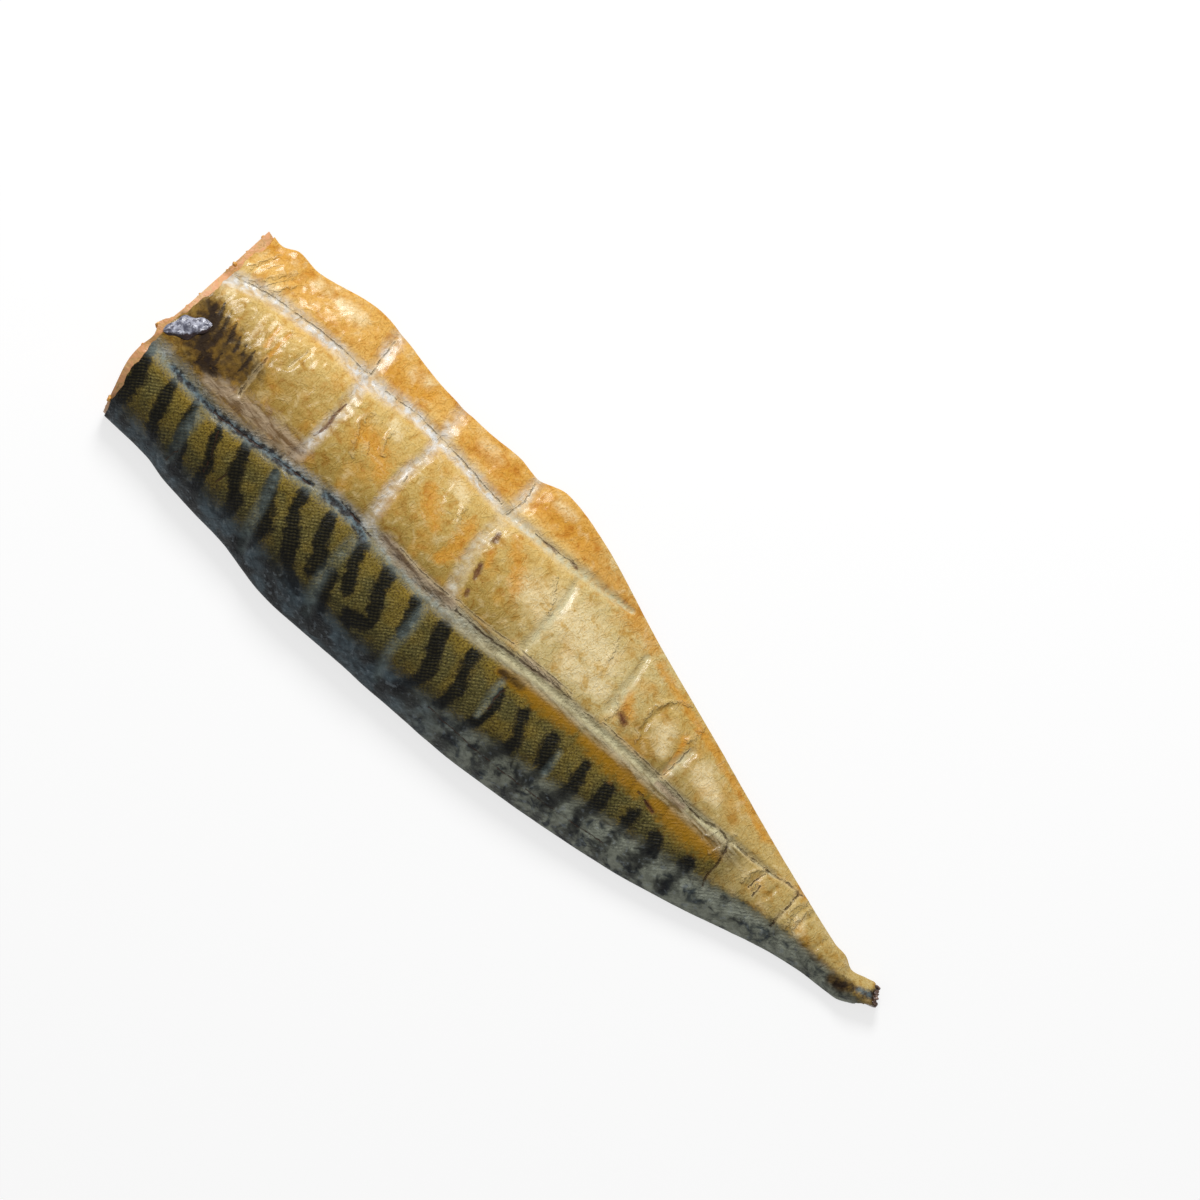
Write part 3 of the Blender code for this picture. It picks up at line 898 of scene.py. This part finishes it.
TOAST_LIGHT = paint(104, 78, 28)
FIBRE_BROWN = paint(96, 78, 48)
FIBRE_PALE = paint(186, 174, 142)
SINGED_BROWN = paint(96, 54, 28)

up_the_belly = from_line * (1 / BELLY_WIDTH) + x_mm.rise(45, 85) * 0.3
belly = start.node("ShaderNodeValToRGB", {"stops": BELLY}, {0: up_the_belly})
# Painted shade: the lower belly towards the head cut is darkened
shaded = (1 - x_mm.rise(-98, -62)) * (1 - (from_line + wobble * 4).rise(10, 25))
belly = (shaded * 0.8).pick(belly, BELLY_SHADED)
creamy = x_mm.rise(-14, 2) * (1 - x_mm.rise(24, 34)) * 0.75 + x_mm.rise(30, 60) * 0.35
belly = creamy.pick(belly, CREAM)
belly = (broad.rise(0.48, 0.72) * 0.35).pick(belly, AMBER)
belly = (band("cream", 0.2, 1.6) * 0.62).pick(belly, PALE_GOLD)
belly = (band("amber", 0.1, 1.7, 1.5) * 0.7).pick(belly, AMBER)
# Painted highlight: the belly is lightened towards pale gold where its bump rises
belly = (middling.rise(0.52, 0.75) * 0.3).pick(belly, PALE_GOLD)
# Painted shade: the belly is darkened in the hollows and the fine pits of its relief
belly = (1 - middling.rise(0.28, 0.5)).painted_shade(belly, BELLY_HOLLOW_SHADE)
belly = (1 - fine.rise(0.3, 0.6)).painted_shade(belly, BELLY_PIT_SHADE)

back = scales.pick(OLIVE, OLIVE_LIGHT)
back = (broad.rise(0.4, 0.65) * 0.45 + from_line.rise(-10, -4) * 0.5).pick(back, OLIVE_GOLD)
# Painted shade: the back is darkened in the fine pits of its relief
back = (1 - fine.rise(0.3, 0.6)).painted_shade(back, BACK_PIT_SHADE)
striped = 1 - (how_far(start, "stripe") + wobble * 1.2 + (broad - 0.5) * 2).rise(0.15, 1.75)
back = (striped.rise(0.0, 0.5) * 0.6).pick(back, STRIPE_BROWN)
back = striped.rise(0.15, 0.8).pick(back, STRIPE)
back = (scales * striped * 0.16).pick(back, OLIVE_LIGHT)
back = ((1 - (from_flank + wobble * 3).rise(-1, 7)) * 0.55).pick(back, FLANK_DARK)
back = (band("ochre", 0.2, 1.6, 1.4) * 0.9).pick(back, TAN)

flank = broad.rise(0.35, 0.6).pick(FLANK_GREY, FLANK_TEAL)
flank = (x_mm.rise(-20, 15) * middling.rise(0.25, 0.5) * 0.9).pick(flank, FLANK_PALE)
flank = ((1 - broad.rise(0.34, 0.5)) * 0.5).pick(flank, FLANK_DARK)
flank = ((1 - middling.rise(0.32, 0.6)) * 0.6).pick(flank, FLANK_DARK)
flank = ((1 - small.rise(0.36, 0.56)) * 0.3).pick(flank, FLANK_DARK)
flank = (striped * 0.75).pick(flank, FLANK_DARK)
# Painted highlight: pale glints on the raised spots of the flank
flank = (small.rise(0.56, 0.68) * 0.35).pick(flank, FLANK_GLINT)
# Where the skin turns under the back edge it is painted dark: the back's own dark colour, deepened as painted
# shade
flank = (1 - turn.rise(-0.1, 0.05)).pick(flank, FLANK_DARK)

colour = (from_flank + wobble * 3).rise(-2.5, 2.5).pick(flank, back)
golden = (from_line + wobble * 1.5).rise(-1.0, 1.2)
golden_tail = (from_flank + wobble * 1.5).rise(0.0, 2.4) * x_mm.rise(66, 74)
golden = golden.over(golden_tail)
colour = golden.pick(colour, belly)
toasted = band("toasted", 0.35, 1.35, 0.5)
colour = (toasted * 0.9).pick(colour, small.rise(0.3, 0.7).pick(TOAST_DARK, TOAST_LIGHT))

# The seam along the fish's side: brown and pale fibres that run with it
seam = 1 - start.maths("ABSOLUTE", from_line + 1.5).rise(1.0, 3.4)
seam = seam * (1 - x_mm.rise(64, 76)) * x_mm.rise(-60, -20)
fibres = streaks.rise(0.34, 0.62).pick(FIBRE_BROWN, FIBRE_PALE)
colour = (seam * 0.7).pick(colour, fibres)

racked = (band("long_wire", 0.1, 1.7) * (0.6 + 0.4 * broad.rise(0.36, 0.56))).over(
    band("cross_wire", 0.1, 1.7) * (0.3 + 0.4 * broad.rise(0.36, 0.56))
)
rack_belly = x_mm.rise(-45, 0).pick(middling.rise(0.35, 0.6).pick(RACK_ROSE, RACK_WHITE), RACK_CREAM)
warm = from_line.rise(-4, 1).over(band("long_wire", 0.4, 1.9) * x_mm.rise(-30, -5))
rack_colour = warm.pick(RACK_BLUE, rack_belly)
pale = racked * (0.6 + 0.35 * from_line.rise(-4, 1)) * (0.55 + 0.7 * small.rise(0.36, 0.62))
colour = pale.pick(colour, rack_colour)
bruised = streaks.rise(0.35, 0.62).pick(BRUISE_BROWN, BRUISE_PALE)
colour = (band("bruise", 0.2, 1.6) * 0.85).pick(colour, bruised)
blued = small.rise(0.4, 0.6).pick(BLUE_DARK, BLUE_PALE)
colour = (band("blue", 0.3, 1.4, 1.3) * 0.9).pick(colour, blued)
burnt = band("burn", 0.2, 1.6, 1.4)
singed = (x_mm.rise(-90, -80) * (1 - x_mm.rise(100, 106))).pick(BURNT, SINGED_BROWN)
colour = (burnt * (0.7 + 0.3 * small.rise(0.35, 0.6))).pick(colour, singed)
# Painted highlight: the raised folds are lightened towards pale gold
folded = band("fold", 0.2, 1.5, 0.5, waver)
colour = (folded * 0.15).pick(colour, PALE_GOLD)
# Painted highlight: a pale rim along both lips of each crack on the golden skin
lips = band("crack", 2.5, 5.0, 1.0, waver)
colour = (lips * golden * 0.2).pick(colour, PALE_GOLD)
cracked = band("crack", 0.6, 2.0, 1.0, waver) * (0.35 + 0.65 * grain(place, 2.4).rise(0.4, 0.55))
faint = golden * (1 - x_mm.rise(58, 66))
colour = (cracked * (0.8 - 0.35 * faint)).pick(colour, CRACK_BROWN)

swirls = grain(start.vector("MULTIPLY", place, (1.3, 0.8, 1)), 2.4, 2.0, 0.5, 0.8)
wrinkles = (1 - start.maths("ABSOLUTE", swirls * 2 - 1)) ** 6
relief = fine * 0.06 + small * 0.13 + middling * 0.12 + scales * (1 - golden) * 0.05
relief = relief + wrinkles * 0.12 + streaks * seam * 0.4 - cracked * 0.25 + folded * 0.2
bump = start.node("ShaderNodeBump", inputs={"Strength": 1.0, "Distance": MM, "Height": relief})
oily = (0.08 + 0.22 * golden + 0.3 * band("ochre", 0.2, 1.6)) * (1 - toasted)
shader = start.node(
    "ShaderNodeBsdfPrincipled",
    inputs={
        "Base Color": colour, "Roughness": 0.42 + small * 0.25 + toasted * 0.2, "Specular IOR Level": 0.18,
        "Coat Weight": oily * middling.rise(0.3, 0.65),
        "Coat Roughness": 0.15, "Normal": bump,
    },
)
start.node("ShaderNodeOutputMaterial", inputs={"Surface": shader})

# Slow swells first, then soft lumps and thin wrinkles where the skin is leathery
UNEVENNESS = [
    (14.0, 0.5, 0.0, (0.7, 1, 1), "give"),
    (4.2, 0.2, 0.0, (1, 0.8, 1), "leathery"),
    (3.0, 0.14, 1.0, (1.5, 0.7, 1), "leathery"),
]
for size, depth, sharpness, stretch, where in UNEVENNESS:
    run_tree(
        skin, uneven_tree, Size=size * MM, Depth=depth * MM, Sharpness=sharpness, Stretch=stretch, Where=where
    )
MARKS = {
    "long_wire": (LONG_MARKS, LONG_FURROW), "cross_wire": (CROSS_MARKS, CROSS_FURROW),
    "stripe": (STRIPES, 0.0), "crack": (CRACKS, 0.14 * MM), "fold": (FOLDS, -0.35 * MM),
    "crease": (CREASES, 0.5 * MM),
    "toasted": (TOASTED, 0.0), "burn": (BURNS, 0.2 * MM),
    "bruise": (BRUISES, 0.1 * MM), "blue": (BLUES, 0.15 * MM), "amber": (AMBERS, 0.1 * MM),
    "cream": (CREAMS, -0.1 * MM), "ochre": (OCHRES, -0.3 * MM),
}
drawn = []
for mark, (routes, depth) in MARKS.items():
    drawn.append(drawn_lines("lines_" + mark, routes))
    run_tree(skin, mark_tree, Lines=drawn[-1], Mark=mark, Depth=depth, Finish=skin_paint)
made_plain(skin)
for lines in [long_wires, cross_wires, midline, gashes, flakes, *drawn]:
    bpy.data.objects.remove(lines)
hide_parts("fillet")
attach(skin, "root")

# ---------------------------------------------------------------------------------------------
# Membrane: a scrap of the silvery lining of the gill chamber, left at the head cut when the head
# came off. It has dried onto the skin as a crumpled leaf, with a dark lower edge.
# ---------------------------------------------------------------------------------------------
MEMBRANE_ROOT = np.array((-117.9, -7.4))
MEMBRANE_TIP = np.array((-110.6, 2.2))
MEMBRANE_HALF_WIDTH = 2.7
MEMBRANE_THICKNESS = 0.35
MEMBRANE_CLEAR = 0.3
MEMBRANE_CROWN = 0.9
MEMBRANE_ALONG, MEMBRANE_ACROSS = 72, 26


def skin_top(x, y):
    """Height of the skin above a point of the table."""
    back, belly = through(BACK_EDGE, x), through(BELLY_EDGE, x)
    return section_point(x, np.clip((y - back) / (belly - back), 0, 1), 0.0)[1]


def face_outwards(piece):
    """Turns a closed piece's faces outwards."""
    body = bmesh.new()
    body.from_mesh(piece.data)
    bmesh.ops.recalc_face_normals(body, faces=body.faces)
    body.to_mesh(piece.data)
    body.free()


share = np.linspace(0.01, 0.99, MEMBRANE_ALONG)[:, None]
side = np.linspace(-1, 1, MEMBRANE_ACROSS)[None, :]
spine = MEMBRANE_ROOT + share * (MEMBRANE_TIP - MEMBRANE_ROOT)
direction = MEMBRANE_TIP - MEMBRANE_ROOT
direction = direction / np.linalg.norm(direction)
swell = np.sin(math.pi * share)
width = MEMBRANE_HALF_WIDTH * swell**0.7 * (1 + 0.16 * np.sin(15 * share + 1))
leaf_x = spine[:, :1] - direction[1] * width * side
leaf_y = spine[:, 1:] + direction[0] * width * side
crumple = 0.2 * np.sin(13 * share + 3 * side) + 0.14 * np.sin(27 * share - 5 * side + 1)
crumple = crumple + 0.1 * np.sin(8 * side)
hump = swell * (1 - side**2)
stands_off = MEMBRANE_CLEAR + MEMBRANE_CROWN * hump + crumple * (0.3 + 0.7 * hump)
leaf_z = skin_top(leaf_x, leaf_y) + stands_off
upper = np.stack([leaf_x, leaf_y, leaf_z], -1)
lower = upper - np.array((0, 0, MEMBRANE_THICKNESS))
rings = np.concatenate([upper, lower[:, ::-1]], 1)
around = rings.shape[1]
caps = [range(around), range((MEMBRANE_ALONG - 1) * around, MEMBRANE_ALONG * around)]
membrane = loft("membrane", rings, [list(cap) for cap in caps])
face_outwards(membrane)
sides = np.broadcast_to(side, leaf_x.shape)
keep_on_points(membrane, "side", np.concatenate([sides, sides[:, ::-1]], 1).ravel())

SILVER_DARK = paint(92, 92, 108)
SILVER_LIGHT = paint(178, 180, 194)
MEMBRANE_SPOT = paint(58, 48, 56)
MEMBRANE_EDGE = paint(46, 26, 26)
membrane_paint, start = new_finish("dried_membrane")
place = start.node("ShaderNodeTexCoord", output="Object")
side_wire = start.node("ShaderNodeAttribute", {"attribute_name": "side"}, output="Fac")
colour = grain(place, 1.1, 3.0).rise(0.35, 0.65).pick(SILVER_DARK, SILVER_LIGHT)
colour = (grain(place, 0.5, 3.0).rise(0.55, 0.7) * 0.7).pick(colour, MEMBRANE_SPOT)
inner = (side_wire + (grain(place, 1.4) - 0.5) * 1.6).rise(-0.75, -0.35)
colour = (1 - inner).pick(colour, MEMBRANE_EDGE)
bump = start.node(
    "ShaderNodeBump", inputs={"Strength": 1.0, "Distance": MM, "Height": grain(place, 0.7, 3.0) * 0.25}
)
shader = start.node(
    "ShaderNodeBsdfPrincipled",
    inputs={"Base Color": colour, "Roughness": 0.34, "Coat Weight": 0.3, "Coat Roughness": 0.15,
            "Normal": bump},
)
start.node("ShaderNodeOutputMaterial", inputs={"Surface": shader})
membrane.data.materials.append(membrane_paint)
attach(membrane, "root")

# ---------------------------------------------------------------------------------------------
# Scraps: crumbs of cured fat and flesh that cling to the head cut, and charred shreds of skin and
# fin at the torn tail stub. They are small lumps of every size, stuck on where they broke off.
# ---------------------------------------------------------------------------------------------
CRUMBS = 34
CRUMB_RADIUS = 0.42
SHREDS = 9
SHRED_RADIUS = 0.5
# A larger lump of orange fat, of four crumbs grown together
LUMP = [(-119.9, -7.2, 12.6), (-119.6, -6.6, 12.0), (-119.7, -7.6, 11.6), (-119.4, -7.0, 13.4)]
chance = np.random.default_rng(7)

start, given = shape_tree("lumps_on_points", {"Radius": "Float", "Stretch": "Vector", "Seed": "Int"})
ball = start.node("GeometryNodeMeshIcoSphere", inputs={"Radius": given["Radius"], "Subdivisions": 3})
twists = {0: (-0.5, -0.5, -3.0), 1: (0.5, 0.5, 3.0), 8: given["Seed"]}
twist = start.node("FunctionNodeRandomValue", {"data_type": "FLOAT_VECTOR"}, twists)
growths = {2: 0.45, 3: 1.25, 8: given["Seed"]}
growth = start.node("FunctionNodeRandomValue", {"data_type": "FLOAT"}, growths, 1)
scale = start.node("ShaderNodeVectorMath", {"operation": "SCALE"}, {0: given["Stretch"], "Scale": growth})
lumps = start.node(
    "GeometryNodeInstanceOnPoints",
    inputs={"Points": given["Geometry"], "Instance": ball, "Rotation": twist, "Scale": scale},
)
real = start.node("GeometryNodeRealizeInstances", inputs={0: lumps})
dents = start.node(
    "ShaderNodeTexNoise",
    {"noise_dimensions": "3D"},
    {"Vector": start.node("GeometryNodeInputPosition"), "Scale": 0.7 / given["Radius"], "Detail": 2.0},
)
push = (dents - 0.5) * given["Radius"] * 1.6
offset = start.node(
    "ShaderNodeVectorMath", {"operation": "SCALE"}, {0: start.node("GeometryNodeInputNormal"), "Scale": push}
)
dented = start.node("GeometryNodeSetPosition", inputs={"Geometry": real, "Offset": offset})
lump_tree = close_tree(dented, given["Finish"])


def lumps_at(name, places, finish, **sizes):
    """Lumps of one kind at places given in millimetres, as one plain mesh."""
    mesh = bpy.data.meshes.new(name)
    mesh.from_pydata([tuple(float(c) * MM for c in place) for place in places], [], [])
    piece = bpy.data.objects.new(name, mesh)
    bpy.context.scene.collection.objects.link(piece)
    run_tree(piece, lump_tree, Finish=finish, **sizes)
    made_plain(piece)
    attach(piece, "root")
    return piece


def lump_finish(name, dull, bright):
    """Cured scraps: two colours in small patches, with a greasy shine."""
    material, start = new_finish(name)
    place = start.node("ShaderNodeTexCoord", output="Object")
    colour = grain(place, 0.8, 3.0).rise(0.35, 0.65).pick(dull, bright)
    bump = start.node(
        "ShaderNodeBump", inputs={"Strength": 0.8, "Distance": MM, "Height": grain(place, 0.4, 3.0) * 0.12}
    )
    inputs = {"Base Color": colour, "Roughness": 0.4, "Coat Weight": 0.2, "Normal": bump}
    shader = start.node("ShaderNodeBsdfPrincipled", inputs=inputs)
    start.node("ShaderNodeOutputMaterial", inputs={"Surface": shader})
    return material


crumb_paint = lump_finish("cured_crumbs", paint(206, 132, 34), paint(232, 184, 104))
char_paint = lump_finish("charred_shreds", paint(34, 20, 18), paint(128, 100, 84))
crumb_share = chance.uniform(0.03, 0.97, CRUMBS)
crumb_x = through(HEAD_CUT, crumb_share) + 0.3
crumb_back = through(BACK_EDGE, crumb_x)
crumb_y = crumb_back + crumb_share * (through(BELLY_EDGE, crumb_x) - crumb_back)
crumb_z = skin_top(crumb_x, crumb_y) * chance.uniform(0.3, 0.96, CRUMBS)
crumb_places = np.stack([crumb_x, crumb_y, crumb_z], -1).tolist() + LUMP
lumps_at("crumbs", crumb_places, crumb_paint, Radius=CRUMB_RADIUS * MM, Stretch=(1, 1.4, 1.6), Seed=3)
shred_share = np.linspace(0, 1, SHREDS)
shred_x = 119.2 - 2.4 * shred_share
shred_y = 1.6 + 3.6 * shred_share
shred_z = 3.4 + 0.8 * np.sin(5 * shred_share)
shred_places = np.stack([shred_x, shred_y, shred_z], -1)
lumps_at("shreds", shred_places, char_paint, Radius=SHRED_RADIUS * MM, Stretch=(1.7, 0.9, 0.8), Seed=5)

# ---------------------------------------------------------------------------------------------
# Pin bones: a row of fine bones that ends in the groove along the middle of the flesh side, cut
# off level with the flesh. Only their pale tips show.
# ---------------------------------------------------------------------------------------------
PIN_PITCH = 4.6
PIN_FIRST_X, PIN_LAST_X = -112.0, 12.0
PIN_RADIUS, PIN_LENGTH = 0.32, 0.8
PIN_HEIGHT = 0.35

start, given = shape_tree("pins_on_points", {"Radius": "Float", "Length": "Float", "Seed": "Int"})
pin = start.node(
    "GeometryNodeMeshCone",
    inputs={"Vertices": 10, "Radius Top": given["Radius"], "Radius Bottom": given["Radius"] * 0.6,
            "Depth": given["Length"]},
)
leans = {0: (-0.5, -0.3, 0.0), 1: (0.5, 0.3, 0.0), 8: given["Seed"]}
lean = start.node("FunctionNodeRandomValue", {"data_type": "FLOAT_VECTOR"}, leans)
pins = start.node(
    "GeometryNodeInstanceOnPoints", inputs={"Points": given["Geometry"], "Instance": pin, "Rotation": lean}
)
pin_tree = close_tree(pins, given["Finish"])
pin_x = np.arange(PIN_FIRST_X, PIN_LAST_X, PIN_PITCH)
pin_y = through([point[:2] for point in MIDLINE], pin_x)
pin_places = np.stack([pin_x, pin_y, np.full_like(pin_x, PIN_HEIGHT)], -1)
mesh = bpy.data.meshes.new("pin_bones")
mesh.from_pydata((pin_places * MM).tolist(), [], [])
pin_bones = bpy.data.objects.new("pin_bones", mesh)
bpy.context.scene.collection.objects.link(pin_bones)
bone_paint = lump_finish("pin_bone", paint(222, 206, 170), paint(240, 230, 206))
run_tree(pin_bones, pin_tree, Radius=PIN_RADIUS * MM, Length=PIN_LENGTH * MM, Seed=11, Finish=bone_paint)
made_plain(pin_bones)
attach(pin_bones, "root")

# ---------------------------------------------------------------------------------------------
# Table and light: a white table top that keeps the fillet's shadow, a bright room round it, and
# one soft window high up, on the belly side of the head cut.
# ---------------------------------------------------------------------------------------------
FLOOR_HALF = 3.0
FLOOR_BELOW = 0.1 * MM
ROOM_LIGHT = 0.33
WINDOW_POWER = 7.4
WINDOW_SIZE = 0.32
WINDOW_PLACE = (-0.42, 0.62, 0.6)

corners = [(east * FLOOR_HALF, north * FLOOR_HALF, 0) for east, north in ((-1, -1), (1, -1), (1, 1), (-1, 1))]
floor_mesh = bpy.data.meshes.new("floor")
floor_mesh.from_pydata(corners, [], [(0, 1, 2, 3)])
floor = bpy.data.objects.new("floor", floor_mesh)
floor.location.z = -FLOOR_BELOW
bpy.context.scene.collection.objects.link(floor)
floor_paint, start = new_finish("white_table")
rays = start.node("ShaderNodeLightPath", output="Is Camera Ray")
glossy = Wire(rays.tree, rays.socket.node.outputs["Is Glossy Ray"])
matt = start.node("ShaderNodeBsdfDiffuse", inputs={"Color": (0.86, 0.86, 0.86, 1)})
shine = start.node("ShaderNodeEmission", inputs={"Color": (1, 1, 1, 1), "Strength": 1.15})
seen = start.maths("MAXIMUM", rays, glossy) * 0.62
mixed = start.node("ShaderNodeMixShader", inputs={0: seen, 1: matt, 2: shine})
start.node("ShaderNodeOutputMaterial", inputs={"Surface": mixed})
floor_mesh.materials.append(floor_paint)

world = bpy.data.worlds.new("world")
bpy.context.scene.world = world
world.use_nodes = True
background = world.node_tree.nodes["Background"]
background.inputs["Color"].default_value = (1, 1, 1, 1)
background.inputs["Strength"].default_value = ROOM_LIGHT

lamp_data = bpy.data.lights.new("window", "AREA")
lamp_data.energy = WINDOW_POWER
lamp_data.shape = "DISK"
lamp_data.size = WINDOW_SIZE
lamp = bpy.data.objects.new("window", lamp_data)
lamp.location = (middle.x + WINDOW_PLACE[0], middle.y + WINDOW_PLACE[1], WINDOW_PLACE[2])
lamp.rotation_mode = "QUATERNION"
lamp.rotation_quaternion = (lamp.location - middle).to_track_quat("Z", "Y")
bpy.context.scene.collection.objects.link(lamp)
